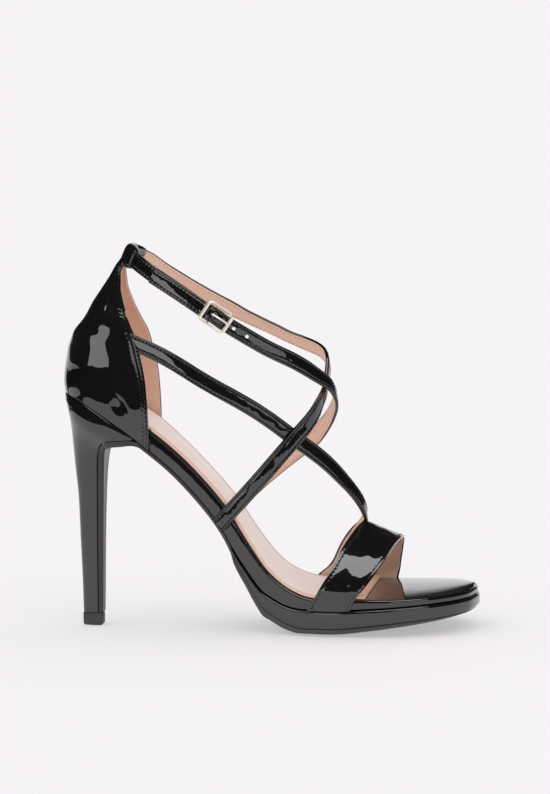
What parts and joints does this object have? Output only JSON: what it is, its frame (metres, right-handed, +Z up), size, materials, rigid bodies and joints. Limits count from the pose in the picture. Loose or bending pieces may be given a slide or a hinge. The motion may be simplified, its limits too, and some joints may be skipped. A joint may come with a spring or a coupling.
{
  "type": "strappy heeled sandal",
  "caption": "Patent stiletto sandal for the right foot, with a closed heel counter, crossed ankle straps, a buckle, a vamp band and a low platform.",
  "frame": {"origin": "on the floor, under the middle of the shoe's length and width", "axes": "+X to the toe, +Y to the medial side of this right shoe, +Z up; the floor is Z = 0"},
  "size_m": [0.2074, 0.0838, 0.1929],
  "materials": {
    "patent_leather": "black patent leather",
    "sock_leather": "nude smooth leather",
    "tread_rubber": "black satin rubber",
    "lacquered_heel": "black gloss heel cover",
    "tip_rubber": "dark grey matte top piece",
    "buckle_metal": "polished pale gold plate"
  },
  "bodies": {
    "root": {"outsole": "tread_rubber", "platform": "patent_leather", "insole_board": "patent_leather", "insole_sock": "sock_leather", "heel": "lacquered_heel", "heel_tip": "tip_rubber", "upper": "patent_leather", "buckle_frame": "buckle_metal", "buckle_pin": "buckle_metal"}
  },
  "joints": []
}
